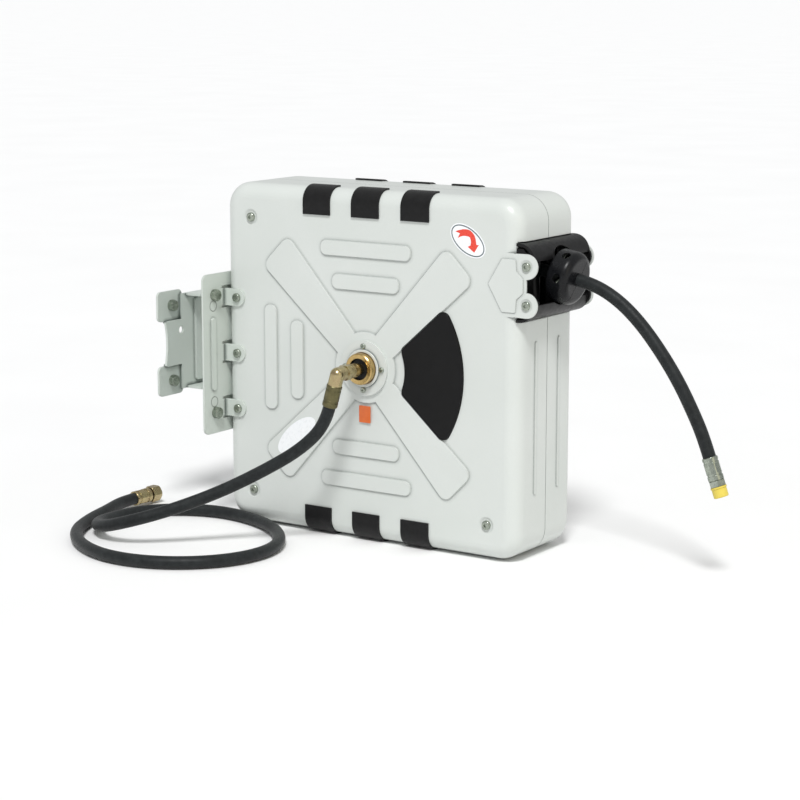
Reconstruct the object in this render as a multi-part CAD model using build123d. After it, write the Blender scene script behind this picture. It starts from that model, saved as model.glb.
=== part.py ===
from build123d import *
import os
from math import cos, pi, radians, sin, tan

# Enclosed spring-rewind hose reel on a swivelling wall bracket, with a lead-in hose. Millimetres.
# The model is drawn in the reel's own frame: origin on the drum axis at the case's front face,
# X to the outlet side, Y to the back, Z up. place() then moves every node to the row frame, whose
# origin is the bottom centre of the box round everything but the hoses and their fittings.

# ---------------------------------------------------------------- driving dimensions
CASE_W = 420.0            # case width and height
CASE_D = 130.0            # case depth, both shells together
SHEET = 2.0               # steel sheet of the shells
CORNER_R = 30.0           # corners of the case seen from the front
EDGE_R = 18.0             # rolled edge round the front and rear faces
SEAM_GAP = 1.0            # visible groove between the shells
RIB_H = 2.0               # height of pressed ribs

HOSE_OD = 15.0            # both hoses
WRAPS = 4                 # turns of hose side by side on the drum
LAYERS = 5                # layers of hose on the drum
HUB_R = 90.0              # drum hub, outside
DRUM_R = 180.0            # drum flanges
DRUM_Y = 12.5             # front flange's inner face
DRUM_SHEET = 1.5
HOSE_FALL = 10.0          # degrees that the hose slopes down from drum to outlet
SHAFT_R = 10.0            # fixed rear shaft
SPRING_W = 30.0           # power spring strip width
SPRING_TURNS = 8
CUP_R = 85.0              # spring cup, outside
TEETH = 24                # of the ratchet ring
RATCHET_AT = 253.4        # degrees, one tooth's steep face
RUN = 0.05                # radial clearance of running fits
GAP = 0.5                 # clearance between parts that must not touch

BOSS_R = 33.3             # bearing plates at the hub
BRASS_R = 18.75           # brass inlet shaft
BUSH_END = 7.0            # its bush's inner end
BRASS_OUT = 15.5          # how far it stands out of the front face
ELBOW_OUT = 58.0          # inlet elbow's bend, in front of the face
TUBE_R = 8.5              # inlet elbow, outside

OUTLET_X = CASE_W / 2 + 27.5   # middle of the hose stop at rest
STOP_R = 31.0
STOP_L = 26.0
STOP_TURN = -33.0         # how far the stop happens to be turned about the hose
STOP_SCREW = 14.6         # its clamp screws, from the hose's line
ROLLER_R = 8.0
ROLLER_GAP = 1.0          # between a roller and the hose
HORIZONTAL_X = CASE_W / 2 - 30 # upper and lower rollers
VERTICAL_X = CASE_W / 2 - 10   # front and rear upright rollers
EAR_X = CASE_W / 2 + 9.5       # outlet ear screws
EAR_R = 14.5
EAR_Z = (135.2, 91.2)
FRAME_Z = (76.0, 156.0)   # outlet frame, below and above
LIP_R = 20.0

PAD_T = 2.0
PAD_W = 39.0
PAD_PITCH = 70.0
PAD_Y = 22.0              # how far the pads reach back over the edge
SCREW_AT = CASE_W / 2 - 41     # corner screws
DIMPLE = 1.2              # depth of the dishes round them
EAR_DIMPLE = 0.8          # and of those round the outlet's ear screws

PLATE_T = 2.5             # side plate
PLATE_Z = 99.0            # half its height
PLATE_Y = 43.5            # how far it stands in front of and behind the case
TAB_Z = 69.0              # pitch of the three tabs
TAB_IN = 20.0             # their screws, from the side of the case
PIVOT_X = -CASE_W / 2 - 48     # wall hinge pin
PIN_R = 5.0
LUG_Z = 57.0              # swing bracket's lugs, outer faces
LUG_HALF = 12.0           # half their width
WALL_X = -CASE_W / 2 - 102     # face that meets the wall
WALL_T = 3.0
WALL_Y = 50.0             # wall bolts, from the middle of the case
WALL_Z = 48.0
STUD_OUT = 10.0           # wall bolts beyond the wall face
M8_AF = 13.0

SIDE = CASE_W / 2                                # right side of the case; the left is -SIDE
MID_Y = CASE_D / 2
FALL = radians(HOSE_FALL)
WIND_R = HUB_R + HOSE_OD * (LAYERS - 0.5)        # outer layer's centreline
WIND_W = WRAPS * HOSE_OD
DRUM_BACK = DRUM_Y + WIND_W                      # rear flange's inner face
HOSE_Y = DRUM_BACK - HOSE_OD / 2                 # the wrap that leaves the drum
CUP_Y = DRUM_BACK + DRUM_SHEET                   # spring cup starts here
CUP_L = SPRING_W + 8
PAWL_PIN = (0.0, -(CUP_R + 35))
PAWL_TIP = (-28.0, -(CUP_R + 12.04))
ROLLER_REACH = HOSE_OD / 2 + ROLLER_GAP + ROLLER_R
WALL_LUG_Z = LUG_Z + 1.0                         # inner faces of the wall bracket's lugs

# The row frame's origin, in the reel frame.
ORIGIN = Vector((WALL_X - STUD_OUT + EAR_X + EAR_R) / 2,
                (CASE_D + PLATE_Y - ELBOW_OUT - TUBE_R) / 2,
                -CASE_W / 2 - PAD_T)

# Routes of the free hoses. The first point is the face of the fitting or stop that the hose
# leaves, and the last is the face of the ferrule on its end. The lead-in hose starts at two points
# measured from the elbow's bend and goes on in the row frame; the outlet hose hangs in the plane
# of the stop, so its points are (x, z) from the stop's face.
LEAD_START = [(-11.3, 0, -38.6), (-18.2, 0, -62.2)]
LEAD_REST = [
    (0, -122.5, 121), (-37, -139.5, 95.5),
    (-87, -168, 66), (-138, -203.5, 43), (-183.7, -229.7, 28), (-228.4, -224.2, 15.5),
    (-261.3, -193.5, 10), (-269.9, -149.3, 7.5), (-262, -106, 7.5), (-228, -70, 7.5),
    (-178, -53, 7.5), (-123, -60.5, 7.5), (-72, -84, 7.5), (-31, -123, 7.5),
    (-8, -172, 7.5), (-14, -227, 7.5), (-48, -273, 7.5), (-103, -301, 7.5),
    (-163, -300, 7.5), (-219, -273, 7.5), (-263, -230.5, 7.5), (-287, -176.5, 7.5),
    (-298, -131.5, 8), (-306.5, -95, 10.5), (-304.5, -72, 11)]
OUTLET_SAG = [
    (0, 0), (19.7, -3.5), (49.7, -17.8), (77.7, -40.3), (104.7, -70.8), (128.7, -103.8),
    (147.2, -135.8), (161.2, -163.3), (169.5, -185.8)]

LOW = (Align.CENTER, Align.CENTER, Align.MIN)    # pieces drawn upwards from the origin


# ---------------------------------------------------------------- small helpers
def cyl(radius, start, end, axis="Y", at=(0, 0)):
    """Cylinder along an axis from start to end; at gives the other two coordinates in order."""
    middle = (start + end) / 2
    if axis == "X":
        return Pos(middle, *at) * Rot(0, 90, 0) * Cylinder(radius, end - start)
    if axis == "Y":
        return Pos(at[0], middle, at[1]) * Rot(90, 0, 0) * Cylinder(radius, end - start)
    return Pos(*at, middle) * Cylinder(radius, end - start)


def ring(outer, inner, start, end, axis="Y", at=(0, 0)):
    return cyl(outer, start, end, axis, at) - cyl(inner, start - 1, end + 1, axis, at)


def block(x, y, z):
    """Box between pairs of coordinates."""
    size = [high - low for low, high in (x, y, z)]
    return Pos(*[(low + high) / 2 for low, high in (x, y, z)]) * Box(*size)


def slab(sketch, front, back):
    """A sketch of the front view (x, z), made solid from depth front to depth back."""
    return extrude(Plane.XZ.offset(-back) * sketch, amount=back - front)


def hex_prism(flats, start, end, axis="Y", at=(0, 0)):
    """Hexagonal bar along X or Y; flats is the width across its flats."""
    middle = (start + end) / 2
    place_at = {"X": Pos(middle, *at) * Rot(0, 90, 0), "Y": Pos(at[0], middle, at[1]) * Rot(90, 0, 0)}
    hexagon = RegularPolygon(flats / 2, 6, major_radius=False)
    return place_at[axis] * extrude(hexagon, amount=(end - start) / 2, both=True)


def rear(shape):
    """The same piece on the other side of the case's middle plane."""
    return shape.mirror(Plane.XZ.offset(-MID_Y))


def hose_z(x):
    """Height of the hose's line between drum and stop."""
    return (WIND_R - x * sin(FALL)) / cos(FALL)


def lead_route():
    """Points of the lead-in hose, in the row frame."""
    bend = Vector(0, -ELBOW_OUT, 0) - ORIGIN
    return [bend + Vector(*p) for p in LEAD_START] + [Vector(*p) for p in LEAD_REST]


def outlet_route():
    """Points of the outlet hose, in the row frame."""
    face = Vector(OUTLET_X, HOSE_Y, hose_z(OUTLET_X)) + Vector(cos(FALL), 0, -sin(FALL)) * STOP_L / 2
    return [face - ORIGIN + Vector(x, 0, z) for x, z in OUTLET_SAG]


def along_hose(shape, x):
    """Put a piece drawn along +Z from the origin onto the hose's line at x, pointing outwards."""
    return Pos(x, HOSE_Y, hose_z(x)) * Rot(0, 90 + HOSE_FALL, 0) * shape


def on_axis(shape, point, direction):
    """Put a piece drawn along +Z from the origin at a point, pointing along direction."""
    return Plane(origin=point, z_dir=direction) * shape


def fuse(parts):
    total = parts[0]
    for part in parts[1:]:
        total += part
    return total


# ---------------------------------------------------------------- case
def case_block(grow):
    """The closed outside of the case, moved outwards by grow."""
    outline = RectangleRounded(CASE_W + 2 * grow, CASE_W + 2 * grow, CORNER_R + grow)
    solid = slab(outline, -grow, CASE_D + grow)
    faces = solid.faces().sort_by(Axis.Y)
    return fillet(faces[0].edges() + faces[-1].edges(), EDGE_R + grow)


def arm_sketch():
    """One arm of the pressed X, drawn along +X."""
    outline = Polygon((30, -18), (41, -18.6), (187, -27.5), (187, 27.5), (41, 18.6), (30, 18), align=None)
    tips = outline.vertices().filter_by_position(Axis.X, 186, 188)
    return fillet(tips, 12)


def pressings(short_sides):
    """Pressed X, hub ring and ribs of one face; short_sides lists where the rib panels are."""
    pads = [Circle(43.5)] + [Rot(0, 0, 45 + 90 * i) * arm_sketch() for i in range(4)]
    for angle in short_sides:
        for distance, length in ((139.5, 130), (100, 97)):
            pads.append(Rot(0, 0, angle) * Pos(distance, 0) * RectangleRounded(19.5, length, 8.5))
    base = Plane.XZ.offset(-0.2)
    return [extrude(base * pad, amount=RIB_H + 0.2, taper=32) for pad in pads]


def window_sketch(grow=0.0):
    """Window between two arms: a ring sector with rounded corners."""
    wedge = Polygon((20, 0), (60, -34), (160, -122.5), (160, 122.5), (60, 34), align=None)
    sector = (Circle(137.5) - Circle(56)) & wedge
    sector = fillet(sector.vertices(), 9)
    return offset(sector, grow) if grow else sector


def ear_sketch():
    """Tongue of each shell that holds the outlet frame, with two round ears."""
    top, low = EAR_Z
    body = Polygon((SIDE - 42, 113), (SIDE - 24, 77.5), (EAR_X, 76.7), (EAR_X, 149.7), (SIDE - 24, 149),
                   align=None)
    ears = Sketch() + [Pos(EAR_X, z) * Circle(EAR_R) for z in EAR_Z]
    notch = Pos(EAR_X + 15, (top + low) / 2) * Rectangle(20, 16)
    return body + ears - notch


def shell():
    """Front shell; the rear shell starts as its mirror image."""
    hollow = case_block(0) - case_block(-SHEET)
    solid = hollow & block((-300, 300), (-10, MID_Y - SEAM_GAP / 2), (-300, 300))
    tongue = slab(ear_sketch(), 0, SHEET)
    panel = Polygon((-41, 113), (-22.5, 81.5), (-4, 81.5), (-2.5, 97), (6, 104.5), (6, 121.5),
                    (-2.5, 129.5), (-4, 143.5), (-22.5, 143.5), align=None)
    panel = Pos(SIDE, 0) * fillet(panel.vertices(), 2)
    emboss = extrude(Plane.XZ.offset(-0.2) * panel, amount=1.2, taper=32)
    for z in (77.7, 148.7):
        solid += block((SIDE - 22, SIDE - 7), (0, 5), (z - SHEET / 2, z + SHEET / 2))
    solid += tongue + emboss
    for z in EAR_Z:
        solid -= Pos(EAR_X, -0.3, z) * Rot(-90, 0, 0) * Cone(9, 6.2, EAR_DIMPLE + 0.3, align=LOW)
        solid -= cyl(3.3, -5, 5, "Y", (EAR_X, z))
    solid -= block((SIDE - EDGE_R - 10, SIDE + 10), (5.5, MID_Y + 1),
                   (FRAME_Z[0] - 6, FRAME_Z[1] + 6))
    rib = Plane.YZ.offset(SIDE - 0.2) * Pos(39, -45) * RectangleRounded(5, 180, 2.4)
    return solid + extrude(rib, amount=1.4, taper=25)


def screw_spots():
    return [(-SCREW_AT, SCREW_AT), (-SCREW_AT, -SCREW_AT), (SCREW_AT, -SCREW_AT)]


def front_cover(base):
    raised = fuse(pressings((90, 180, 270))) - slab(window_sketch(0.6), -RIB_H - 1, 0)
    solid = base + raised - slab(window_sketch(-4), -5, 5) - cyl(24.5, -5, 5)
    for x, z in screw_spots():
        solid -= Pos(x, -0.3, z) * Rot(-90, 0, 0) * Cone(10.6, 7.5, DIMPLE + 0.3, align=LOW)
        solid -= cyl(3.2, -5, 5, "Y", (x, z))
    return drilled(solid)


def rear_cover(base):
    solid = base + fuse(pressings((0, 90, 180, 270))) - cyl(14.5, -5, 5)
    for spot in screw_spots():
        solid -= cyl(3.2, -5, 5, "Y", spot)
    outlet_room = block((SIDE - EDGE_R - 10, SIDE + 10), (0, CASE_D),
                        (FRAME_Z[0] - 6, FRAME_Z[1] + 6))
    inner = case_block(-2 * SHEET)
    lip = (case_block(-SHEET - 0.2) - inner) & block((-300, 300), (MID_Y - 6, MID_Y + 4), (-300, 300))
    join = (case_block(-SHEET + 0.2) - inner) & block((-300, 300), (MID_Y + 1, MID_Y + 4), (-300, 300))
    return rear(drilled(solid)) + (lip - outlet_room) + (join - outlet_room)


def drilled(solid):
    """Holes that both shells have: for the three tabs and for the bearing plate's screws."""
    for spot in boss_spots():
        solid -= cyl(2.1, -5, 5, "Y", spot)
    for i in (-1, 0, 1):
        solid -= cyl(3.2, -5, 5, "Y", (TAB_IN - SIDE, i * TAB_Z))
    return solid


def window_cover():
    plate = extrude(Plane.XZ * window_sketch(), amount=RIB_H + 0.8, taper=20)
    plug = slab(window_sketch(-5), 0, SHEET + 3) - slab(window_sketch(-8), 1, SHEET + 4)
    return plate + plug


def case_pads():
    """Twelve wear pads wrapped over the top and bottom edges; the lower six are the feet."""
    skin = case_block(PAD_T) - case_block(0)
    front = []
    for i in (-1, 0, 1):
        for side in (1, -1):
            z = (SIDE - 32.5, SIDE + 10) if side > 0 else (-SIDE - 10, 32.5 - SIDE)
            x = (i * PAD_PITCH - PAD_W / 2, i * PAD_PITCH + PAD_W / 2)
            front.append(skin & block(x, (-PAD_T - 1, PAD_Y), z))
    return front + [rear(pad) for pad in front]


def pan_screw(radius, head_r, head_h, length):
    """Pan-head screw, drawn with its head along +Z above the origin and its shank below."""
    head = Cylinder(head_r, head_h, align=LOW)
    head = fillet(head.faces().sort_by(Axis.Z)[-1].edges(), head_h * 0.45)
    socket = Pos(0, 0, head_h - 1.4) * extrude(RegularPolygon(head_r * 0.42, 6), amount=2)
    shank = Cylinder(radius, length, align=(Align.CENTER, Align.CENTER, Align.MAX))
    return head + shank - socket


def front_screws(spots, y, radius=3.0, head_r=5.5, head_h=3.4, length=14.0):
    """Screws driven backwards into a face at depth y."""
    screw = Rot(90, 0, 0) * pan_screw(radius, head_r, head_h, length)
    return [Pos(x, y, z) * screw for x, z in spots]


def cover_screws():
    front = front_screws(screw_spots(), DIMPLE, length=12)
    back = [rear(s) for s in front_screws(screw_spots(), 0, length=12)]
    return front + back


def case_posts():
    """Spacers between the shells, threaded at both ends."""
    return [ring(8, 3, SHEET, CASE_D - SHEET, "Y", spot) for spot in screw_spots()]


# ---------------------------------------------------------------- bearings and inlet
def boss_spots():
    return [(26.2 * cos(a), 26.2 * sin(a)) for a in (0, pi / 2, pi, 3 * pi / 2)]


def front_plate():
    plate = cyl(BOSS_R, -RIB_H - 3, -RIB_H) + cyl(24, -RIB_H, BUSH_END) + cyl(22.6, -RIB_H - 5, -RIB_H)
    plate = chamfer(plate.edges().filter_by(GeomType.CIRCLE).group_by(Axis.Y)[0], 0.5)
    plate -= cyl(21.5, -RIB_H - 3.5, 20) + cyl(19.4, -20, 0)
    for spot in boss_spots():
        plate -= cyl(2.1, -10, 0, "Y", spot)
    return plate


def rear_plate():
    plate = cyl(BOSS_R, CASE_D + RIB_H, CASE_D + RIB_H + 3) + cyl(14, CASE_D - 4, CASE_D + RIB_H)
    plate -= cyl(SHAFT_R + 0.1, CASE_D - 10, CASE_D + 10)
    for x, z in boss_spots():
        plate -= cyl(2.1, CASE_D - 1, CASE_D + 10, "Y", (x, z))
    return plate


def bearing_plate_screws():
    front = front_screws(boss_spots(), -RIB_H - 3, 2, 3.4, 2.4, 8)
    return front + [rear(screw) for screw in front]


def inlet_shaft():
    """Brass shaft that turns with the drum and carries the swivel."""
    back = DRUM_Y + 20
    solid = cyl(BRASS_R, -BRASS_OUT, DRUM_Y) + cyl(34, DRUM_Y, DRUM_Y + 4) + cyl(12, DRUM_Y, back)
    solid = chamfer(solid.edges().filter_by(GeomType.CIRCLE).group_by(Axis.Y)[0], 1.2)
    solid -= cyl(13, -BRASS_OUT - 1, -1) + cyl(8, -2, DRUM_Y) + cyl(5, 0, back + 1)
    for spot in shaft_spots():
        solid -= cyl(2.6, DRUM_Y - 1, DRUM_Y + 5, "Y", spot)
    return solid


def shaft_spots():
    return [(29 * cos(a), 29 * sin(a)) for a in (pi / 4, 3 * pi / 4, 5 * pi / 4, 7 * pi / 4)]


def shaft_screws():
    return front_screws(shaft_spots(), DRUM_Y - DRUM_SHEET, radius=2.5, head_r=4.2, head_h=2.6, length=9)


def swivel_stem():
    """Fixed stem in the brass shaft, with two seal grooves and a shoulder for the nut."""
    stem = cyl(8 - RUN, 0, 10) + cyl(6.6, -30, 0) + cyl(8.2, -24, -20)
    for y in (2.5, 6.5):
        stem -= ring(9, 6.4, y, y + 2)
    return stem - cyl(4, -40, 20)


def swivel_seals():
    """Two seals in the stem's grooves and a wiper in the mouth of the shaft's bore."""
    wiper = ring(12.8, 6.6, 3 - BRASS_OUT, 6 - BRASS_OUT)
    return [ring(8 - RUN, 6.4, y, y + 2) for y in (2.5, 6.5)] + [wiper]


def swivel_nut():
    """Hex nut with two round collars in front of it."""
    nut = hex_prism(17.5, -46, -38) & cyl(9.6, -46, -38)
    nut += cyl(7.4, -38, -29) + cyl(8.9, -37, -34.5) + cyl(8.6, -33, -30.5)
    nut += Pos(0, -27, 0) * Rot(90, 0, 0) * Cone(6.9, 7.4, 2, align=LOW)
    return nut - cyl(6.6, -32, -20) - cyl(7.0, -50, -32)


def inlet_direction():
    """From the elbow's bend towards the start of the lead-in hose."""
    return Vector(*LEAD_START[0]).normalized()


def inlet_elbow():
    """Mitred elbow: a leg from the nut to the bend, a ball at the corner and a leg to the ferrule."""
    corner = Vector(0, -ELBOW_OUT, 0)
    leg = Cylinder(TUBE_R, 13, align=LOW)
    solid = cyl(TUBE_R, -ELBOW_OUT, -46) + Pos(*corner) * Sphere(TUBE_R) + cyl(7.0, -46, -32)
    solid += on_axis(leg, corner, inlet_direction())
    bore = Cylinder(4, 14, align=LOW)
    return solid - on_axis(bore, corner, inlet_direction()) - cyl(4, -ELBOW_OUT, -20)


def ferrule(length, radius, inner):
    """Sleeve along +Z from the origin, crimped to eight flats between its two grooves."""
    body = Cylinder(radius, length, align=LOW)
    body = chamfer(body.edges().filter_by(GeomType.CIRCLE), 0.8)
    for z in (5, length - 7):
        groove = Pos(0, 0, z) * (Cylinder(radius + 1, 2.4) - Cylinder(radius - 0.6, 3))
        body -= groove
    flats = length - 16
    crimp = extrude(RegularPolygon(radius * 0.955, 8, major_radius=False), amount=flats)
    body -= Pos(0, 0, 7) * (Cylinder(radius + 1, flats, align=LOW) - crimp)
    return body - Pos(0, 0, -1) * Cylinder(inner, length + 2, align=LOW)


def lead_ferrule():
    start = Vector(0, -ELBOW_OUT, 0) + inlet_direction() * 13
    length = Vector(*LEAD_START[0]).length - 13
    return on_axis(ferrule(length, 9.2, 4), start, inlet_direction())


def lead_tail():
    """Ferrule with its spigot on the far end of the lead-in hose, and the nut, in the row frame."""
    before, point = lead_route()[-2:]
    way = (point - before).normalized()
    sleeve = ferrule(26, 9.2, 3.5) + Pos(0, 0, 26) * Cylinder(5, 7.4, align=LOW)
    sleeve -= Cylinder(3.5, 100)
    return on_axis(sleeve, point, way), on_axis(union_nut(27.5), point, way)


def union_nut(start):
    """Hex nut that turns on the spigot; its mouth takes the supply line's thread."""
    nut = Pos(0, 0, start) * extrude(RegularPolygon(9.5, 6, major_radius=False), amount=14)
    round_bar = Cylinder(10.9, 14, align=LOW)
    nut &= Pos(0, 0, start) * chamfer(round_bar.edges().filter_by(GeomType.CIRCLE), 1.2)
    nut -= Cylinder(5 + RUN, 100)
    nut -= Pos(0, 0, start + 3) * Cylinder(7, 20, align=LOW)
    return nut - Pos(0, 0, start + 6) * Cylinder(7.5, 20, align=LOW)


# ---------------------------------------------------------------- drum
def drum_flange(front, bore, rim):
    """Disc with six lightening holes and a turned rim between two depths."""
    disc = ring(DRUM_R, bore, front, front + DRUM_SHEET)
    for i in range(6):
        a = radians(60 * i + 30)
        disc -= cyl(11, front - 1, front + 3, "Y", (65 * cos(a), 65 * sin(a)))
    return disc + ring(DRUM_R, DRUM_R - DRUM_SHEET, *rim)


def front_flange():
    """Front flange, screwed to the brass shaft."""
    front = DRUM_Y - DRUM_SHEET
    flange = drum_flange(front, 24, (front - 4, DRUM_Y))
    for spot in shaft_spots():
        flange -= cyl(2.6, front - 1, front + 3, "Y", spot)
    return flange


def rear_flange():
    return drum_flange(DRUM_BACK, 14, (DRUM_BACK, DRUM_BACK + DRUM_SHEET + 4))


def wound_hose():
    """The wound hose as one ring whose outer layer shows its turns."""
    low, high = HUB_R + 0.2, WIND_R
    profile = Pos((low + high) / 2, DRUM_Y + WIND_W / 2) * Rectangle(high - low, WIND_W - 1)
    for i in range(WRAPS):
        profile += Pos(high, DRUM_Y + HOSE_OD * (i + 0.5)) * Circle(HOSE_OD / 2 - 0.1)
    face = Plane.XY * profile
    return revolve(face, Axis.Y, 360)


def inner_fitting():
    """Carries the air or water from the shaft through the hub wall to the wound hose."""
    y = DRUM_Y + 29
    elbow = cyl(9, DRUM_Y + 20, y) + Pos(0, y, 0) * Sphere(9) + cyl(7, 0, HUB_R - 2.5, "Z", (0, y))
    return elbow - cyl(4, DRUM_Y + 19, y) - cyl(4, 0, HUB_R, "Z", (0, y))


def drum_hub():
    hub = ring(HUB_R, HUB_R - 2, DRUM_Y, DRUM_BACK)
    return hub - cyl(7.5, 0, HUB_R + 5, "Z", (0, DRUM_Y + 29))


def spring_cup():
    wall = ring(CUP_R, CUP_R - 2, CUP_Y, CUP_Y + CUP_L)
    return wall + ring(CUP_R, 14, CUP_Y + CUP_L, CUP_Y + CUP_L + DRUM_SHEET)


def power_spring():
    """Flat spiral strip made of half turns, from the arbor out to the cup's wall."""
    strip, first = 1.2, 20.5
    step = (CUP_R - 3.5 - first - strip) / (2 * SPRING_TURNS)
    loops = []
    for thick in (0, strip):
        edges = []
        for k in range(2 * SPRING_TURNS):
            r = first + step * k + thick
            start = 0 if k % 2 == 0 else 180
            edges.append(CenterArc((0 if k % 2 == 0 else step, 0), r, start, 180))
        loops.append(edges)
    last = 2 * SPRING_TURNS - 1
    ends = [Line(loops[0][0] @ 0, loops[1][0] @ 0), Line(loops[0][last] @ 1, loops[1][last] @ 1)]
    face = make_face(loops[0] + loops[1] + ends)
    y = CUP_Y + 4
    return slab(face, y, y + SPRING_W)


def main_shaft():
    """Fixed shaft with the spring's arbor, clamped to the rear plate."""
    solid = cyl(SHAFT_R, CUP_Y - 10, CASE_D + RIB_H + 3) + cyl(20.3, CUP_Y + 4, CUP_Y + 4 + SPRING_W)
    return solid + cyl(6, CASE_D, CASE_D + RIB_H + 14)


def shaft_nut():
    y = CASE_D + RIB_H + 3
    return hex_prism(19, y, y + 9) - cyl(6, y - 1, y + 20)


def drum_bushes():
    ends = (CUP_Y - DRUM_SHEET - 2, CUP_Y + CUP_L - 1.5)
    return [ring(14, SHAFT_R + RUN, y, y + 5) for y in ends]


def ratchet_ring():
    """Toothed ring pressed on the spring cup."""
    tip, root = CUP_R + 15, CUP_R + 10
    pitch = 2 * pi / TEETH
    lead = radians(RATCHET_AT)
    points = []
    for i in range(TEETH):
        a = lead + i * pitch
        points += [(tip * cos(a), tip * sin(a)), (root * cos(a), root * sin(a))]
    return slab(Polygon(*points, align=None) - Circle(CUP_R), CUP_Y + 8, CUP_Y + 12)


def pawl():
    """Pawl on a pin below the ratchet ring; its tip drops into a tooth gap as it swings up."""
    (px, pz), (tx, tz) = PAWL_PIN, PAWL_TIP
    arm = Polygon((tx, tz), (tx - 3.5, tz - 7), (px + 4, pz - 5), (px - 4, pz + 6), align=None)
    solid = slab(arm + Pos(px, pz) * Circle(8), CUP_Y + 8, CUP_Y + 12)
    return solid - cyl(4 + RUN, CUP_Y, CUP_Y + 20, "Y", PAWL_PIN)


def pawl_pin():
    pin = cyl(4, CUP_Y + 4, CASE_D - SHEET, "Y", PAWL_PIN) + cyl(6, CUP_Y + 4, CUP_Y + 7, "Y", PAWL_PIN)
    return pin + cyl(9, CASE_D - SHEET - 3, CASE_D - SHEET, "Y", PAWL_PIN)


def pawl_spring():
    return ring(6.5, 4.4, CUP_Y + 13, CUP_Y + 21, "Y", PAWL_PIN)


# ---------------------------------------------------------------- outlet
def lip_profile():
    """Quarter-round lip over the outlet, seen from the front; the lower one is its mirror image."""
    base_x, top = SIDE - 5, FRAME_Z[1] + 5
    wall = Pos(base_x + 4, top - LIP_R) * (Circle(LIP_R) - Circle(LIP_R - 3.5))
    quarter = Pos(base_x + 4 + 20, top - LIP_R + 20) * Rectangle(40, 40)
    strip = Pos(base_x + 2, top - 1.75) * Rectangle(4.2, 3.5)
    return (wall & quarter) + strip


def mirror_low(shape):
    """The same piece below the outlet's middle height."""
    return shape.mirror(Plane.XY.offset(sum(FRAME_Z) / 2))


def end_wall_sketch():
    """End walls of the outlet frame, just inside the shells' ears."""
    body = Polygon((SIDE - 4, 77), (SIDE + 4, 77), (EAR_X + 2, 81), (EAR_X + 2, 145), (SIDE + 4, 155),
                   (SIDE - 4, 155), align=None)
    ears = Sketch() + [Pos(EAR_X, z) * Circle(EAR_R - 2) for z in EAR_Z]
    return body + ears - Pos(EAR_X + 6, sum(EAR_Z) / 2) * Rectangle(26, 20)


def outlet_frame():
    """Black moulding: roller box inside the case, window plate, two lips and two end walls."""
    low, high = FRAME_Z
    front, back = 8.0, CASE_D - 8.0
    x_in, x_out = SIDE - 42, SIDE - 4
    tube = block((x_in, x_out), (front, back), (low, high)) - block(
        (x_in - 1, x_out - 3), (front + 3, back - 3), (low + 3, high - 3))
    tube -= block((x_out - 5, x_out + 1), (HOSE_Y - 27, HOSE_Y + 27), (low + 3.2, high - 3.2))
    depth = (SHEET + 0.2, CASE_D - SHEET - 0.2)
    lip = slab(lip_profile(), *depth)
    solid = tube + lip + mirror_low(lip)
    solid += block((SIDE - 6, SIDE - 1), (front, back), (high - 3, high + 5))
    solid += block((SIDE - 6, SIDE - 1), (front, back), (low - 5, low + 3))
    wall = slab(end_wall_sketch(), depth[0], depth[0] + 3)
    wall += block((SIDE - 4.8, SIDE - 3), (depth[0], front + 1), (low + 1, high - 1))
    for z in EAR_Z:
        wall += cyl(7, depth[0], 18, "Y", (EAR_X, z))
    solid += wall + rear(wall)
    for z in EAR_Z:
        solid -= cyl(3, 0, CASE_D, "Y", (EAR_X, z))
    stop_room = along_hose(Cylinder(STOP_R + 2, STOP_L + 60), OUTLET_X + 15)
    solid -= stop_room & block((x_out + 3, 400), (0, CASE_D), (0, 300))
    for x, z in roller_rows():
        solid -= cyl(2.5, 0, CASE_D, "Y", (x, z))
    for y in roller_columns():
        solid -= cyl(2.5, low - 9, high + 9, "Z", (VERTICAL_X, y))
    return solid


def roller_rows():
    """Axes of the upper and lower rollers, as (x, z)."""
    z = hose_z(HORIZONTAL_X)
    return [(HORIZONTAL_X, z + ROLLER_REACH), (HORIZONTAL_X, z - ROLLER_REACH)]


def roller_columns():
    """Depths of the front and rear upright rollers' axes."""
    return [HOSE_Y - ROLLER_REACH, HOSE_Y + ROLLER_REACH]


def roller(axis, start, end, at):
    solid = chamfer(cyl(ROLLER_R, start, end, axis, at).edges().filter_by(GeomType.CIRCLE), 1)
    return solid - cyl(2.5 + RUN, start - 1, end + 1, axis, at)


def upright_roller(y):
    return roller("Z", FRAME_Z[0] + 3.6, FRAME_Z[1] - 3.6, (VERTICAL_X, y))


def roller_pins():
    low, high = FRAME_Z
    pins = [cyl(2.5, 8.5, CASE_D - 8.5, "Y", at) for at in roller_rows()]
    return pins + [cyl(2.5, low + 0.5, high - 0.5, "Z", (VERTICAL_X, y)) for y in roller_columns()]


def outlet_screws():
    front = front_screws([(EAR_X, z) for z in EAR_Z], EAR_DIMPLE, 3, 5.2, 3.2, 14)
    return front + [rear(screw) for screw in front]


def stop_body():
    """Round stop with a domed outer face, drawn along +Z about its middle."""
    body = Pos(0, 0, -STOP_L / 2) * Cylinder(STOP_R, STOP_L, align=LOW)
    rims = body.edges().filter_by(GeomType.CIRCLE).sort_by(Axis.Z)
    body = fillet(rims[-1], 9)
    body = fillet(body.edges().filter_by(GeomType.CIRCLE).sort_by(Axis.Z)[0], 2)
    return body - Cylinder(HOSE_OD / 2, 3 * STOP_L)


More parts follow.
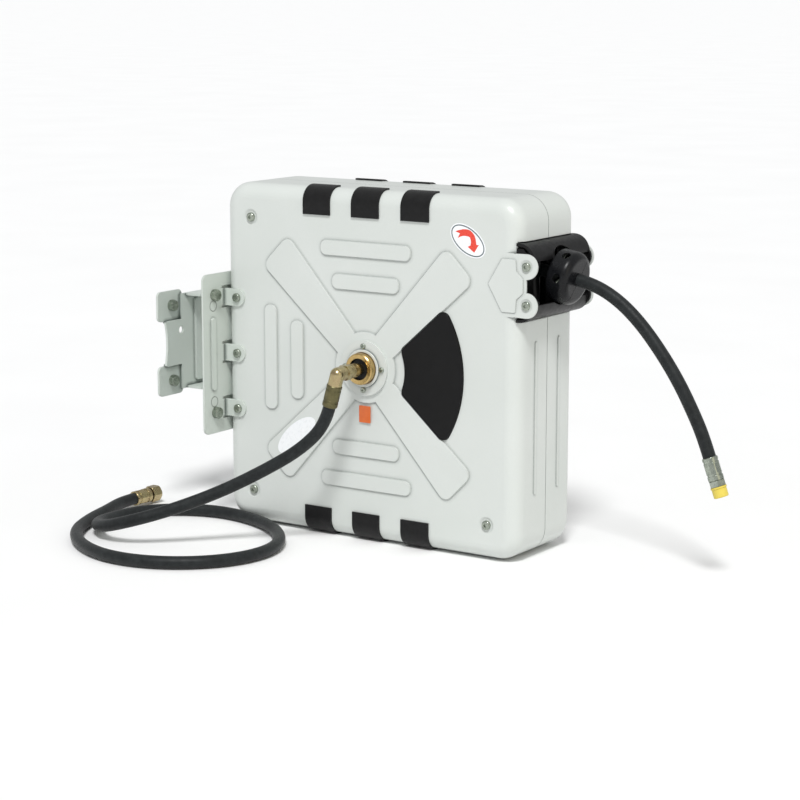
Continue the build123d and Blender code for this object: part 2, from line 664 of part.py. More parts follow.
def stop_halves():
    """Two halves split along the hose, with counterbored holes for the clamp screws."""
    body = stop_body()
    for side in (-STOP_SCREW, STOP_SCREW):
        body -= cyl(2.6, -40, 40, "Y", (side, 0))
        body -= cyl(4.8, -40, -15, "Y", (side, 0)) + cyl(4.8, 15, 40, "Y", (side, 0))
    front = body & block((-40, 40), (-40, -0.3), (-40, 40))
    back = body & block((-40, 40), (0.3, 40), (-40, 40))
    screw = Rot(90, 0, 0) * pan_screw(2.5, 4.4, 3, 27)
    screws = [Pos(side, -15, 0) * screw for side in (-STOP_SCREW, STOP_SCREW)]
    turn = Rot(0, 0, STOP_TURN)
    return [along_hose(turn * piece, OUTLET_X) for piece in (front, back, *screws)]


def inner_run():
    """Straight hose from the drum's outer layer to the stop."""
    start = WIND_R * sin(FALL)
    length = (OUTLET_X - start) / cos(FALL) + STOP_L / 2
    tube = Cylinder(HOSE_OD / 2, length, align=LOW)
    return along_hose(tube, start) - Pos(0, MID_Y, 0) * cyl(WIND_R + HOSE_OD / 2 + GAP, -50, 50)


def outlet_end():
    """Ferrule, hex nipple and dust cap on the outlet hose, in the row frame."""
    before, point = outlet_route()[-2:]
    way = (point - before).normalized()
    sleeve = ferrule(27, 9, 4)
    nipple = Pos(0, 0, 27) * extrude(RegularPolygon(8.5, 6, major_radius=False), amount=6.5)
    nipple += Pos(0, 0, 33.5) * Cylinder(6.58, 11, align=LOW)
    nipple -= Cylinder(4, 200)
    cap = Pos(0, 0, 34) * Cylinder(8.5, 12.5, align=LOW)
    cap = fillet(cap.edges().filter_by(GeomType.CIRCLE).sort_by(Axis.Z)[-1], 1.5)
    cap += Pos(0, 0, 34) * Cylinder(9.2, 2, align=LOW)
    cap -= Pos(0, 0, 33) * Cylinder(6.58 + 0.2, 12, align=LOW)
    return [on_axis(piece, point, way) for piece in (sleeve, nipple, cap)]


# ---------------------------------------------------------------- brackets
def side_plate():
    """Plate on the case's left side, with three tabs bent onto each face of the case."""
    x = (-SIDE - PLATE_T, -SIDE)
    tab_x = TAB_IN - SIDE
    plate = block(x, (-PLATE_Y, CASE_D + PLATE_Y), (-PLATE_Z, PLATE_Z))
    plate = fillet(plate.edges().filter_by(Axis.X), 8)
    rib = Plane.YZ.offset(x[1] - 0.2) * Pos(-25, 0) * RectangleRounded(10, 92, 4.8)
    rib = extrude(rib, amount=2.2, taper=25)
    plate += rib + rear(rib)
    for z in (-TAB_Z, 0, TAB_Z):
        window = block((x[0] - 1, x[1] + 1), (-7, EDGE_R - 4), (z - 13.5, z + 13.5))
        plate -= window + rear(window)
        strip = block((x[0], tab_x + 0.5), (-2 * PLATE_T, -PLATE_T), (z - 10.6, z + 10.6))
        tip = cyl(10.6, -2 * PLATE_T, -PLATE_T, "Y", (tab_x + 0.5, z))
        strip += tip & block((tab_x, tab_x + 20), (-9, 0), (z - 20, z + 20))
        bend = block(x, (-8, -PLATE_T), (z - 10.6, z + 10.6))
        tab = strip + bend - cyl(3.2, -10, 0, "Y", (tab_x, z))
        tab = Pos(0, PLATE_T, 0) * tab
        tab += block(x, (-8, -PLATE_T + 1), (z - 10.6, z + 10.6))
        plate += tab + rear(tab)
    for y, z in swing_bolt_spots():
        plate -= cyl(4.1, x[0] - 1, x[1] + 1, "X", (y, z))
    for z in (-59.5, 59.5):
        for y in (-24, CASE_D + 24):
            plate -= ring(6.8, 6.0, x[1] - 0.4, x[1] + 1, "X", (y, z))
    return plate


def swing_bolt_spots():
    return [(y, z) for y in (-22.5, CASE_D + 22.5) for z in (-73, 73)]


def tab_screws():
    spots = [(TAB_IN - SIDE, z) for z in (-TAB_Z, 0, TAB_Z)]
    front = front_screws(spots, -PLATE_T, length=9)
    return front + [rear(s) for s in front]


def hex_bolt(length, flats=M8_AF, radius=4.0, head=5.3, washer=7.0):
    """Hex bolt with a flat washer, drawn with the head towards +Z above the origin."""
    hexagon = extrude(RegularPolygon(flats / 2, 6, major_radius=False), amount=head)
    round_bar = Cylinder(flats * 0.57, head, align=LOW)
    round_bar = chamfer(round_bar.edges().filter_by(GeomType.CIRCLE).sort_by(Axis.Z)[-1], 0.9)
    shank = Cylinder(radius, length, align=(Align.CENTER, Align.CENTER, Align.MAX))
    return Pos(0, 0, 1.6) * (hexagon & round_bar) + Cylinder(washer, 1.6, align=LOW) + shank


def swing_bolts():
    """Four bolts with their nuts; they clamp the swing bracket to the side plate."""
    bolt = Rot(0, 90, 0) * hex_bolt(15)
    x = -SIDE - PLATE_T - WALL_T
    nuts = [hex_prism(M8_AF, x - 6.5, x, "X", spot) - cyl(4, x - 9, x + 2, "X", spot)
            for spot in swing_bolt_spots()]
    return [Pos(-SIDE, y, z) * bolt for y, z in swing_bolt_spots()] + nuts


def lug(x_from, z):
    """Flat lug from x_from to the hinge pin, with a rounded end; z is its lower face."""
    plate = block((PIVOT_X, x_from), (MID_Y - LUG_HALF, MID_Y + LUG_HALF), (z, z + WALL_T))
    return plate + cyl(LUG_HALF, z, z + WALL_T, "Z", (PIVOT_X, MID_Y))


def swing_bracket():
    """U-shaped bracket bolted behind the side plate; its two lugs turn on the hinge pin."""
    back = -SIDE - PLATE_T
    web = block((back - WALL_T, back), (-35, CASE_D + 35), (-84, 84))
    solid = fillet(web.edges().filter_by(Axis.X), 8)
    for z in (-LUG_Z, LUG_Z - WALL_T):
        solid += lug(back - 1, z)
        solid += block((back - 14, back - 1), (MID_Y - 24, MID_Y + 24), (z, z + WALL_T))
    solid -= cyl(PIN_R + RUN, -LUG_Z - 5, LUG_Z + 5, "Z", (PIVOT_X, MID_Y))
    for spot in swing_bolt_spots():
        solid -= cyl(4.1, back - 9, back + 1, "X", spot)
    return solid


def wall_bracket():
    """Stamped bracket: raised panel, four ears against the wall and two lugs for the hinge pin."""
    step = 3.0                                   # ears lie this much nearer the wall than the panel
    panel_x = (WALL_X + step, WALL_X + step + WALL_T)
    panel = block(panel_x, (0, CASE_D), (-61, 61))
    for y in (0, CASE_D):
        dish = Pos(0, y + (-103 if y == 0 else 103), 0) * Rot(0, 90, 0) * Cylinder(107, 700)
        panel -= dish & block((WALL_X - 18, WALL_X + 22), (-10, CASE_D + 10), (-28.5, 28.5))
    solid = panel
    for side in (-1, 1):
        for up in (-1, 1):
            y = (-10.5, 36) if side < 0 else (CASE_D - 36, CASE_D + 10.5)
            z = (28.5, 66.5) if up > 0 else (-66.5, -28.5)
            ear = fillet(block((WALL_X, WALL_X + WALL_T), y, z).edges().filter_by(Axis.X), 6)
            joggle = block((WALL_X, panel_x[1]), (y[1] - 5, y[1]) if side < 0 else (y[0], y[0] + 5), z)
            ear += joggle & block((WALL_X, panel_x[1]), y, (-61, 61))
            solid -= block((panel_x[0] - 0.01, panel_x[1] + 1),
                           (y[0] - 1, y[1] - 5) if side < 0 else (y[0] + 5, y[1] + 1),
                           (z[0] - 0.5, z[1] + 1) if up > 0 else (z[0] - 1, z[1] + 0.5))
            ledge_z = z[0] if up > 0 else z[1]
            solid += ear + block((WALL_X, panel_x[1]), (max(y[0], 2), min(y[1], CASE_D - 2)),
                                 (ledge_z - 2.5, ledge_z + 0.5) if up > 0 else (ledge_z - 0.5, ledge_z + 2.5))
    for z in (-WALL_LUG_Z - WALL_T, WALL_LUG_Z):
        wing = block((panel_x[0], WALL_X + 30), (MID_Y - 25, MID_Y + 25), (z, z + WALL_T))
        outline = Polygon((WALL_X + 29, MID_Y - 25), (PIVOT_X, MID_Y - LUG_HALF),
                          (PIVOT_X, MID_Y + LUG_HALF), (WALL_X + 29, MID_Y + 25), align=None)
        solid += wing + extrude(Pos(0, 0, z) * outline, amount=WALL_T)
        solid += cyl(LUG_HALF, z, z + WALL_T, "Z", (PIVOT_X, MID_Y))
    bead = Plane.YZ.offset(panel_x[1] - 0.2) * Pos(MID_Y, 0) * RectangleRounded(18, 108, 4)
    solid += extrude(bead, amount=3.2, taper=20)
    solid -= cyl(PIN_R, -90, 90, "Z", (PIVOT_X, MID_Y))
    solid -= cyl(4.5, WALL_X - 1, panel_x[1] + 1, "X", (31, 15))
    for y, z in wall_bolt_spots():
        solid -= cyl(4.1, WALL_X - 1, panel_x[1] + 1, "X", (y, z))
    return solid


def wall_bolt_spots():
    return [(MID_Y + a * WALL_Y, b * WALL_Z) for a in (-1, 1) for b in (-1, 1)]


def wall_bolts():
    neck = WALL_T + 0.4
    relief = Pos(0, 0, -neck) * (Cylinder(5, neck, align=LOW) - Cylinder(3.8, neck, align=LOW))
    bolt = Rot(0, 90, 0) * (hex_bolt(WALL_T + STUD_OUT) - relief)
    return [Pos(WALL_X + WALL_T, y, z) * bolt for y, z in wall_bolt_spots()]


def hinge_pin():
    reach = WALL_LUG_Z + WALL_T
    at = (PIVOT_X, MID_Y)
    return cyl(PIN_R, -reach - 5, reach, "Z", at) + cyl(8, reach, reach + 4, "Z", at)


def hinge_rings():
    """Snap ring under the pin and a thin washer between each pair of lugs."""
    at = (PIVOT_X, MID_Y)
    reach = WALL_LUG_Z + WALL_T
    washers = [ring(9, PIN_R + RUN, z, z + 0.8, "Z", at) for z in (LUG_Z + 0.1, -LUG_Z - 0.9)]
    return washers + [ring(8.5, PIN_R, -reach - 3, -reach - 1.2, "Z", at)]


# ---------------------------------------------------------------- labels
def label(sketch, x, z, height, turn=0.0):
    return slab(Pos(x, z) * Rot(0, 0, turn) * sketch, -height - 0.25, -height)


def labels():
    arrow = label(Ellipse(26.4, 15.6), 142, 160, 0, -33)
    name = label(Ellipse(35, 14), -101, -93, RIB_H, 40)
    notice = label(RectangleRounded(16.5, 20.4, 1), 0, -56, RIB_H)
    return {"direction_label": arrow, "name_label": name, "notice_label": notice}


# ---------------------------------------------------------------- hoses
def free_hose(route, name):
    """Tube through a route: straight runs joined by arcs as large as the runs allow."""
    runs = [b - a for a, b in zip(route, route[1:])]
    radii = []
    for one, two in zip(runs, runs[1:]):
        half = radians(one.get_angle(two)) / 2
        radii.append(0.45 * min(one.length, two.length) / tan(half))
    path = FilletPolyline(*route, radius=radii)
    section = Plane(origin=path @ 0, z_dir=path % 0) * Circle(HOSE_OD / 2)
    print(name, "length", round(path.length, 1), "smallest bend radius", round(min(radii), 1))
    return sweep(section, path=path)


# ---------------------------------------------------------------- assembly
def build():
    """Every node as {name: shape or list of shapes}, in the reel's frame."""
    base = shell()
    stop_front, stop_rear, *stop_screw_pair = stop_halves()
    nodes = {
        "front_cover": front_cover(base),
        "rear_cover": rear_cover(base),
        "window_cover": window_cover(),
        "case_pads": case_pads(),
        "cover_screws": cover_screws(),
        "case_posts": case_posts(),
        "front_bearing_plate": front_plate(),
        "front_bush": ring(21.5, BRASS_R + RUN, -RIB_H - 3.5, BUSH_END),
        "rear_bearing_plate": rear_plate(),
        "bearing_plate_screws": bearing_plate_screws(),
        "swivel_stem": swivel_stem(),
        "swivel_seals": swivel_seals(),
        "swivel_nut": swivel_nut(),
        "inlet_elbow": inlet_elbow(),
        "lead_ferrule": lead_ferrule(),
        "side_plate": side_plate(),
        "tab_screws": tab_screws(),
        "swing_bracket": swing_bracket(),
        "swing_bolts": swing_bolts(),
        "wall_bracket": wall_bracket(),
        "wall_bolts": wall_bolts(),
        "hinge_pin": hinge_pin(),
        "hinge_rings": hinge_rings(),
        "outlet_frame": outlet_frame(),
        "outlet_screws": outlet_screws(),
        "roller_pins": roller_pins(),
        "roller_top": roller("Y", 11.6, CASE_D - 11.6, roller_rows()[0]),
        "roller_bottom": roller("Y", 11.6, CASE_D - 11.6, roller_rows()[1]),
        "roller_front": upright_roller(roller_columns()[0]),
        "roller_rear": upright_roller(roller_columns()[1]),
        "stop_front_half": stop_front,
        "stop_rear_half": stop_rear,
        "stop_screws": stop_screw_pair,
        "hose_inner_run": inner_run(),
        "drum_hub": drum_hub(),
        "drum_front_flange": front_flange(),
        "drum_rear_flange": rear_flange(),
        "wound_hose": wound_hose(),
        "inlet_shaft": inlet_shaft(),
        "shaft_screws": shaft_screws(),
        "inner_fitting": inner_fitting(),
        "drum_bushes": drum_bushes(),
        "spring_cup": spring_cup(),
        "ratchet_ring": ratchet_ring(),
        "power_spring": power_spring(),
        "main_shaft": main_shaft(),
        "shaft_nut": shaft_nut(),
        "pawl": pawl(),
        "pawl_pin": pawl_pin(),
        "pawl_spring": pawl_spring(),
    }
    nodes.update(labels())
    return nodes


def place(shape):
    """Move a piece from the reel's frame to the row frame."""
    return Pos(*(-ORIGIN)) * shape


def write(name, shape):
    os.makedirs("parts", exist_ok=True)
    pieces = shape if isinstance(shape, list) else [shape]
    solids = [solid for piece in pieces for solid in piece.solids()]
    part = solids[0] if len(solids) == 1 else Compound(children=solids)
    export_step(part, "parts/" + name + ".step")


for node, shape in build().items():
    pieces = shape if isinstance(shape, list) else [shape]
    write(node, [place(piece) for piece in pieces])

tail, nut = lead_tail()
sleeve, nipple, cap = outlet_end()
write("lead_tail", tail)
write("union_nut", nut)
write("outlet_ferrule", sleeve)
write("outlet_nipple", nipple)
write("dust_cap", cap)
write("lead_hose", free_hose(lead_route(), "lead-in hose"))
write("outlet_hose", free_hose(outlet_route(), "outlet hose"))
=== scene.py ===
import math

import bpy
from mathutils import Matrix, Vector


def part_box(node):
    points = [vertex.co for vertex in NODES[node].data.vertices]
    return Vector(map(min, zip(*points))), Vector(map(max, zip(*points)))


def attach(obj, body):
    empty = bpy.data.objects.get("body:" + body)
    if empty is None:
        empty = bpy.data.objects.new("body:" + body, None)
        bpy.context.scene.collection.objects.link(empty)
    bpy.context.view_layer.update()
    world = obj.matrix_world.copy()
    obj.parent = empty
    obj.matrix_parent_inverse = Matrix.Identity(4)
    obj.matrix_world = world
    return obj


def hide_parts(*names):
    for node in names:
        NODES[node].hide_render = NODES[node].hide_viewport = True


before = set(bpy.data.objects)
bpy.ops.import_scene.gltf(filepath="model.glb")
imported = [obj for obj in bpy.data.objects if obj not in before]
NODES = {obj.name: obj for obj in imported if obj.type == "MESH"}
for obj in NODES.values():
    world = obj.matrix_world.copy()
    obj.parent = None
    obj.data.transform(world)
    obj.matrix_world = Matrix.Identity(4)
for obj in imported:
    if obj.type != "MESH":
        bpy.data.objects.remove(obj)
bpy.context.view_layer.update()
MM = 0.001
HOSE_RADIUS = 7.5 * MM
PRINT_HALF = 0.04 * MM          # half the thickness of print on a label


# ---------------------------------------------------------------- materials
class Shade:
    """One procedural material; every call adds a node and returns its output."""

    def __init__(self, name):
        self.material = bpy.data.materials.new(name)
        self.material.use_nodes = True
        self.tree = self.material.node_tree
        self.shader = self.tree.nodes["Principled BSDF"]
        self.place = self.make("ShaderNodeTexCoord").outputs["Object"]

    def make(self, kind, **settings):
        node = self.tree.nodes.new(kind)
        for key, value in settings.items():
            setattr(node, key, value)
        return node

    def put(self, socket, value):
        if isinstance(value, bpy.types.NodeSocket):
            self.tree.links.new(value, socket)
        else:
            socket.default_value = value

    def noise(self, scale, detail=2.0, rough=0.5, stretch=None):
        node = self.make("ShaderNodeTexNoise")
        source = self.place
        if stretch:
            scaler = self.make("ShaderNodeVectorMath", operation="MULTIPLY")
            self.put(scaler.inputs[0], self.place)
            scaler.inputs[1].default_value = stretch
            source = scaler.outputs[0]
        self.put(node.inputs["Vector"], source)
        node.inputs["Scale"].default_value = scale
        node.inputs["Detail"].default_value = detail
        node.inputs["Roughness"].default_value = rough
        return node.outputs["Fac"]

    def span(self, value, low, high, start=0.3, end=0.7):
        node = self.make("ShaderNodeMapRange")
        self.put(node.inputs["Value"], value)
        for key, number in (("From Min", start), ("From Max", end), ("To Min", low), ("To Max", high)):
            node.inputs[key].default_value = number
        return node.outputs["Result"]

    def blend(self, factor, one, two):
        node = self.make("ShaderNodeMix", data_type="RGBA")
        self.put(node.inputs["Factor"], factor)
        self.put(node.inputs["A"], one)
        self.put(node.inputs["B"], two)
        return node.outputs["Result"]

    def edges(self, radius, low=0.0, high=0.06):
        """1 along sharp edges and 0 on flat faces."""
        soft = self.make("ShaderNodeBevel", samples=4)
        soft.inputs["Radius"].default_value = radius
        plain = self.make("ShaderNodeNewGeometry").outputs["Normal"]
        dot = self.make("ShaderNodeVectorMath", operation="DOT_PRODUCT")
        self.put(dot.inputs[0], soft.outputs["Normal"])
        self.put(dot.inputs[1], plain)
        return self.span(dot.outputs["Value"], 1.0, 0.0, 1.0 - high, 1.0 - low)

    def painted_crease_shade(self, reach, low=0.55, high=0.95):
        """1 in inside corners and 0 in the open: the mask for painted shade in the corners."""
        node = self.make("ShaderNodeAmbientOcclusion", samples=6, only_local=True)
        node.inputs["Distance"].default_value = reach
        return self.span(node.outputs["AO"], 1.0, 0.0, low, high)

    def relief(self, layers, rounding=0.0):
        """Bump layers (height, depth in metres), over edges rounded in shading."""
        normal = None
        if rounding:
            soft = self.make("ShaderNodeBevel", samples=4)
            soft.inputs["Radius"].default_value = rounding
            normal = soft.outputs["Normal"]
        for height, depth in layers:
            bump = self.make("ShaderNodeBump")
            bump.inputs["Strength"].default_value = 1.0
            bump.inputs["Distance"].default_value = depth
            self.put(bump.inputs["Height"], height)
            if normal is not None:
                self.put(bump.inputs["Normal"], normal)
            normal = bump.outputs["Normal"]
        self.put(self.shader.inputs["Normal"], normal)

    def set(self, **values):
        for key, value in values.items():
            self.put(self.shader.inputs[key.replace("_", " ")], value)
        return self


def rgb(r, g, b):
    """sRGB bytes as a linear colour."""
    def line(v):
        v /= 255
        return v / 12.92 if v <= 0.04045 else ((v + 0.055) / 1.055) ** 2.4
    return (line(r), line(g), line(b), 1.0)


def paint(name, light, dark, chip, crease_shade_colour):
    """Powder coat: faint orange peel, slow tone change, rubbed edges and painted shade darkening inside
    corners.
    """
    s = Shade(name)
    base = s.blend(s.span(s.noise(9, 3), 0, 1), light, dark)
    fine = s.blend(s.span(s.noise(420, 2), 0, 0.35), base, dark)
    worn = s.make("ShaderNodeMath", operation="MULTIPLY")
    s.put(worn.inputs[0], s.edges(0.0006, 0.02, 0.2))
    s.put(worn.inputs[1], s.span(s.noise(70, 5, 0.65), 0, 0.30, 0.45, 0.62))
    rubbed = s.blend(worn.outputs[0], fine, chip)
    # the base colour is darkened towards the crease colour in inside corners, as painted shade
    s.set(Base_Color=s.blend(s.painted_crease_shade(0.005), rubbed, crease_shade_colour),
          Roughness=s.span(s.noise(150, 3), 0.30, 0.40),
          Specular_IOR_Level=0.5, Coat_Weight=0.15, Coat_Roughness=0.22)
    s.relief([(s.noise(650, 1.5, 0.4), 0.000028), (s.noise(90, 1), 0.00006)], 0.0009)
    return s.material


def moulded(name, colour, rubbed, low=0.30, high=0.46, grain=0.00002, rounding=0.0007):
    """Moulded plastic: fine spark-eroded grain, polished a little where it is handled."""
    s = Shade(name)
    tone = s.blend(s.span(s.noise(60, 4), 0, 0.6), colour, rubbed)
    s.set(Base_Color=s.blend(s.edges(0.0008, 0.02, 0.25), tone, rubbed),
          Roughness=s.span(s.noise(240, 3), low, high), Specular_IOR_Level=0.24)
    s.relief([(s.noise(2600, 2), grain), (s.noise(40, 2), 0.00005)], rounding)
    return s.material


def rubber(name, colour, dusty, rough):
    """Matt rubber with a little dust in patches."""
    s = Shade(name)
    s.set(Base_Color=s.blend(s.span(s.noise(120, 5, 0.65), 0, 0.8, 0.35, 0.75), colour, dusty),
          Roughness=s.span(s.noise(500, 3), rough - 0.08, rough + 0.1), Specular_IOR_Level=0.22,
          Sheen_Weight=0.08, Sheen_Roughness=0.5)
    s.relief([(s.noise(1500, 3), 0.00004), (s.noise(160, 2), 0.00007)])
    return s.material


def plated(name, one, two, low, high, stretch=None, grain=0.000012, rounding=0.0005, dull=None):
    """Plated or turned metal: slow colour drift, dull stained patches, fine lay lines, edges rounded in
    shading.
    """
    s = Shade(name)
    drift = s.blend(s.span(s.noise(140, 4, 0.6), 0, 1), one, two)
    lay = s.noise(900, 2, 0.5, stretch)
    stained = s.blend(s.span(s.noise(330, 5, 0.7), 0, 0.45, 0.52, 0.75), drift, dull or two)
    s.set(Base_Color=stained, Metallic=1.0, Roughness=s.span(lay, low, high))
    s.relief([(lay, grain), (s.noise(260, 2), 0.00002)], rounding)
    return s.material


def film(name, colour, other, rough=0.28):
    """Printed label film, just uneven where it is stuck down."""
    s = Shade(name)
    s.set(Base_Color=s.blend(s.span(s.noise(200, 3), 0, 0.5), colour, other),
          Roughness=s.span(s.noise(300, 2), rough - 0.05, rough + 0.08),
          Coat_Weight=0.3, Coat_Roughness=0.15)
    s.relief([(s.noise(110, 2), 0.00005)])
    return s.material


# the crease colours below are painted shade colours for inside corners
PAINT = paint("case_powder_coat", rgb(214, 218, 215), rgb(208, 213, 209),
              chip=rgb(236, 239, 238), crease_shade_colour=rgb(96, 105, 102))
PLATE_PAINT = paint("bracket_powder_coat", rgb(206, 213, 207), rgb(199, 207, 200),
                    chip=rgb(226, 231, 227), crease_shade_colour=rgb(86, 97, 91))
BLACK = moulded("black_moulding", rgb(12, 12, 13), rgb(26, 26, 27))
BLACK_GLOSS = moulded("black_stop", rgb(13, 14, 16), rgb(28, 29, 32), 0.24, 0.36)
WINDOW = moulded("black_window", rgb(3, 3, 4), rgb(12, 12, 13), 0.36, 0.5, 0.000008, 0.0012)
PAD = rubber("pad_rubber", rgb(10, 10, 11), rgb(24, 24, 25), 0.5)
HOSE = rubber("hose_rubber", rgb(24, 27, 28), rgb(44, 48, 49), 0.5)
ZINC = plated("bright_zinc", rgb(176, 182, 170), rgb(150, 158, 148), 0.20, 0.36,
              dull=rgb(104, 110, 100))
YELLOW_ZINC = plated("yellow_zinc", rgb(188, 176, 132), rgb(172, 152, 118), 0.20, 0.34,
                     dull=rgb(150, 136, 96))
OLIVE_ZINC = plated("olive_zinc", rgb(118, 112, 80), rgb(98, 94, 68), 0.30, 0.44, dull=rgb(72, 70, 50))
BRASS = plated("turned_brass", rgb(206, 178, 122), rgb(188, 158, 102), 0.20, 0.34,
               (0.2, 6, 0.2), 0.00001, dull=rgb(140, 112, 66))
BRONZE = plated("sintered_bronze", rgb(176, 128, 78), rgb(150, 106, 62), 0.35, 0.5,
                dull=rgb(110, 78, 46))
STEEL = plated("plain_steel", rgb(168, 170, 172), rgb(146, 149, 152), 0.30, 0.46,
               dull=rgb(116, 112, 106))
SPRING = plated("blued_spring_steel", rgb(92, 96, 116), rgb(74, 80, 104), 0.24, 0.36,
                dull=rgb(104, 92, 78))
YELLOW = moulded("yellow_cap", rgb(226, 206, 96), rgb(216, 194, 80), 0.28, 0.40)
WHITE_FILM = film("label_white", rgb(246, 248, 250), rgb(236, 240, 243))
ORANGE_FILM = film("label_orange", rgb(216, 106, 44), rgb(204, 92, 34), 0.4)
RED_PRINT = film("print_red", rgb(232, 66, 44), rgb(222, 56, 38))
GREY_PRINT = film("print_grey", rgb(86, 100, 106), rgb(74, 88, 94))
SEAL = rubber("seal_rubber", rgb(16, 16, 16), rgb(30, 30, 30), 0.45)

FINISH = {
    PAINT: "front_cover rear_cover front_bearing_plate rear_bearing_plate",
    PLATE_PAINT: "side_plate swing_bracket wall_bracket",
    BLACK: "outlet_frame roller_top roller_bottom roller_front roller_rear",
    BLACK_GLOSS: "stop_front_half stop_rear_half",
    WINDOW: "window_cover",
    PAD: "case_pads",
    HOSE: "hose_inner_run wound_hose lead_hose outlet_hose",
    ZINC: "cover_screws bearing_plate_screws tab_screws swing_bolts wall_bolts hinge_pin hinge_rings "
          "outlet_screws stop_screws shaft_screws shaft_nut outlet_ferrule outlet_nipple",
    YELLOW_ZINC: "swivel_stem swivel_nut inlet_elbow lead_tail union_nut",
    OLIVE_ZINC: "lead_ferrule",
    BRASS: "inlet_shaft inner_fitting",
    BRONZE: "front_bush drum_bushes",
    STEEL: "case_posts roller_pins drum_hub drum_front_flange drum_rear_flange spring_cup ratchet_ring "
           "main_shaft pawl pawl_pin",
    SPRING: "power_spring pawl_spring",
    YELLOW: "dust_cap",
    WHITE_FILM: "direction_label name_label",
    ORANGE_FILM: "notice_label",
    SEAL: "swivel_seals",
}
for finish, names in FINISH.items():
    for name in names.split():
        data = NODES[name].data
        data.materials.clear()
        data.materials.append(finish)
unfinished = sorted(set(NODES) - {n for names in FINISH.values() for n in names.split()})
assert not unfinished, unfinished


# ---------------------------------------------------------------- hoses
def hose(name, points, body, node):
    """Round hose along a smooth curve through the part's own route, in place of its CAD node."""
    curve = bpy.data.curves.new(name, "CURVE")
    curve.dimensions = "3D"
    spline = curve.splines.new("NURBS")
    spline.points.add(len(points) - 1)
    for target, point in zip(spline.points, points):
        target.co = (*[c * MM for c in point], 1.0)
    spline.order_u = 3
    spline.use_endpoint_u = True
    spline.resolution_u = 10
    curve.bevel_depth = HOSE_RADIUS
    curve.bevel_resolution = 7
    curve.use_fill_caps = True
    curve.materials.append(HOSE)
    obj = bpy.data.objects.new(name, curve)
    bpy.context.collection.objects.link(obj)
    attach(obj, body)
    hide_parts(node)
    return obj


LEAD = [
    (32.7, -111.5, 173.4), (25.8, -111.5, 149.8), (0, -122.5, 121), (-37, -139.5, 95.5),
    (-87, -168, 66), (-138, -203.5, 43), (-183.7, -229.7, 28), (-228.4, -224.2, 15.5),
    (-261.3, -193.5, 10), (-269.9, -149.3, 7.5), (-262, -106, 7.5), (-228, -70, 7.5),
    (-178, -53, 7.5), (-123, -60.5, 7.5), (-72, -84, 7.5), (-31, -123, 7.5),
    (-8, -172, 7.5), (-14, -227, 7.5), (-48, -273, 7.5), (-103, -301, 7.5),
    (-163, -300, 7.5), (-219, -273, 7.5), (-263, -230.5, 7.5), (-287, -176.5, 7.5),
    (-298, -131.5, 8), (-306.5, -95, 10.5), (-304.5, -72, 11)]
OUTLET = [
    (294.3, 11.5, 327.8), (314, 11.5, 324.3), (344, 11.5, 310), (372, 11.5, 287.5),
    (399, 11.5, 257), (423, 11.5, 224), (441.5, 11.5, 192), (455.5, 11.5, 164.5),
    (463.8, 11.5, 142)]

lead = hose("lead_in_hose", LEAD, "case", "lead_hose")
outlet = hose("outlet_hose_end", OUTLET, "hose_end", "outlet_hose")


# ---------------------------------------------------------------- labels
def printed(name, outlines, at, face, material, body="case"):
    """Print on a front face: closed outlines (x, z) in mm about a point of that face."""
    curve = bpy.data.curves.new(name, "CURVE")
    curve.dimensions = "2D"
    curve.fill_mode = "BOTH"
    curve.extrude = PRINT_HALF
    for outline in outlines:
        spline = curve.splines.new("POLY")
        spline.points.add(len(outline) - 1)
        for target, (x, z) in zip(spline.points, outline):
            target.co = (x * MM, z * MM, 0, 1)
        spline.use_cyclic_u = True
    drawn = bpy.data.objects.new(name + "_curve", curve)
    bpy.context.collection.objects.link(drawn)
    bpy.context.view_layer.update()
    mesh = bpy.data.meshes.new_from_object(drawn.evaluated_get(bpy.context.evaluated_depsgraph_get()))
    bpy.data.objects.remove(drawn)
    upright = Matrix.Rotation(math.pi / 2, 4, "X")
    mesh.transform(Matrix.Translation((at[0] * MM, face, at[1] * MM)) @ upright)
    mesh.name = name
    mesh.materials.clear()
    mesh.materials.append(material)
    obj = bpy.data.objects.new(name, mesh)
    bpy.context.collection.objects.link(obj)
    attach(obj, body)


def oval(a, b, turn, steps=96):
    """Outline of an ellipse with half axes a and b, turned by an angle in degrees."""
    c, s = math.cos(math.radians(turn)), math.sin(math.radians(turn))
    points = []
    for i in range(steps):
        t = 2 * math.pi * i / steps
        x, z = a * math.cos(t), b * math.sin(t)
        points.append((x * c - z * s, x * s + z * c))
    return points


low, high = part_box("direction_label")
centre = ((low.x + high.x) / 2 / MM, (low.z + high.z) / 2 / MM)
front = low.y
ARROW = [
    (-16.9, 9.8), (-13.5, 11.1), (-10.0, 12.0), (-6.5, 12.8), (-3.1, 13.0), (0.2, 12.8), (3.0, 11.9),
    (5.3, 10.5), (7.2, 8.7), (8.8, 6.6), (9.9, 4.2), (10.6, 1.9), (11.0, -0.4), (11.7, -4.1),
    (14.8, -3.9), (8.7, -13.1), (-0.2, -6.9), (3.5, -5.2), (4.2, -2.0), (4.1, 0), (3.8, 1.5),
    (2.8, 4.0), (1.4, 4.7), (-0.3, 5.0), (-2.7, 5.3), (-5.1, 5.3), (-7.6, 4.9), (-9.9, 4.1),
    (-13.7, 2.4), (-10.6, 7.8)]
printed("turn_arrow_print", [ARROW], centre, front, RED_PRINT)
printed("turn_ring_print", [oval(24.9, 14.1, -33), oval(23.5, 12.7, -33)], centre, front, GREY_PRINT)


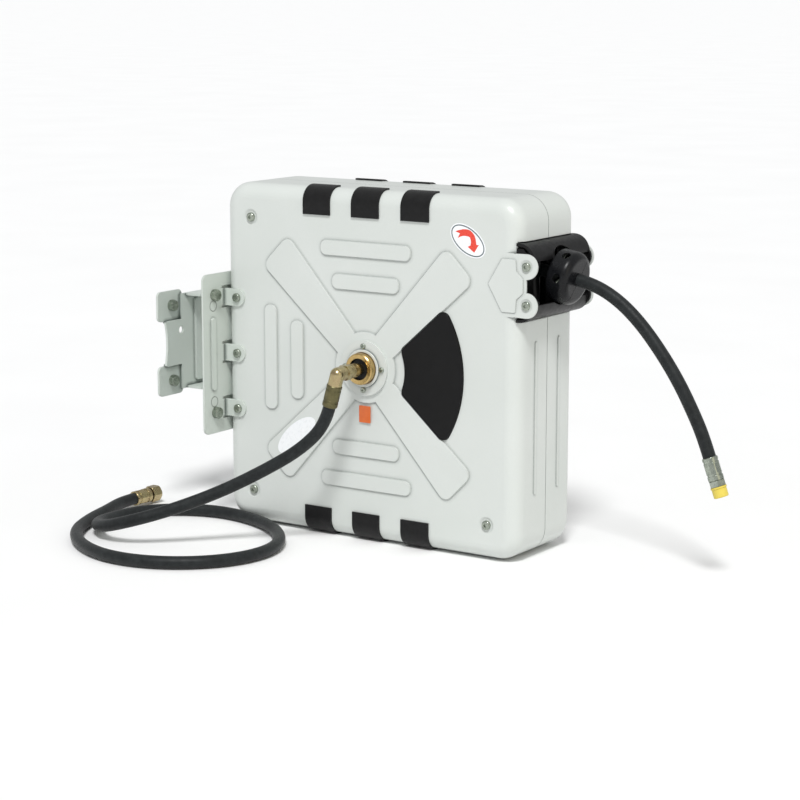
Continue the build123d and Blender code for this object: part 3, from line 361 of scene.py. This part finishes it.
# ---------------------------------------------------------------- floor, light, camera
def floor():
    """Pale floor that reaches past the horizon of every view."""
    mesh = bpy.data.meshes.new("floor")
    half = 300
    corners = [(-half, -half, 0), (half, -half, 0), (half, half, 0), (-half, half, 0)]
    mesh.from_pydata(corners, [], [(0, 1, 2, 3)])
    s = Shade("floor_paper")
    s.set(Base_Color=s.blend(s.span(s.noise(3, 2), 0, 1), (0.92, 0.92, 0.92, 1), (0.94, 0.94, 0.94, 1)),
          Roughness=0.9, Specular_IOR_Level=0.1)
    mesh.materials.append(s.material)
    obj = bpy.data.objects.new("floor", mesh)
    bpy.context.collection.objects.link(obj)
    obj.location.z = -0.5 * MM


def lamp(name, spot, aim, size, power, colour):
    light = bpy.data.lights.new(name, "AREA")
    light.shape = "RECTANGLE"
    light.size, light.size_y = size
    light.energy = power
    light.color = colour
    obj = bpy.data.objects.new(name, light)
    bpy.context.collection.objects.link(obj)
    obj.location = spot
    obj.rotation_euler = (Vector(aim) - Vector(spot)).to_track_quat("-Z", "Y").to_euler()


floor()
lamp("side", (2.4, -0.7, 1.0), (0.04, 0, 0.25), (1.2, 1.2), 4.0, (1.0, 0.88, 0.60))
sun = bpy.data.objects.new("key", bpy.data.lights.new("key", "SUN"))
bpy.context.collection.objects.link(sun)
sun.data.energy = 2.15
sun.data.angle = math.radians(14)
sun.rotation_euler = Vector((-0.35, 0.62, -1.0)).to_track_quat("-Z", "Y").to_euler()
world = bpy.data.worlds.new("studio")
bpy.context.scene.world = world
world.use_nodes = True
world.node_tree.nodes["Background"].inputs["Color"].default_value = (0.985, 0.995, 1.0, 1)
world.node_tree.nodes["Background"].inputs["Strength"].default_value = 0.52

camera = bpy.data.objects.new("camera", bpy.data.cameras.new("camera"))
bpy.context.collection.objects.link(camera)
camera.location = (1.54397, -2.21334, 0.66576)
camera.rotation_euler = (math.radians(90 - 10.616), 0, math.radians(33.894))
camera.data.lens = 101.34
camera.data.sensor_width = 36
camera.data.clip_end = 1000
bpy.context.scene.camera = camera
bpy.context.scene.view_settings.view_transform = "Standard"

bpy.context.view_layer.update()
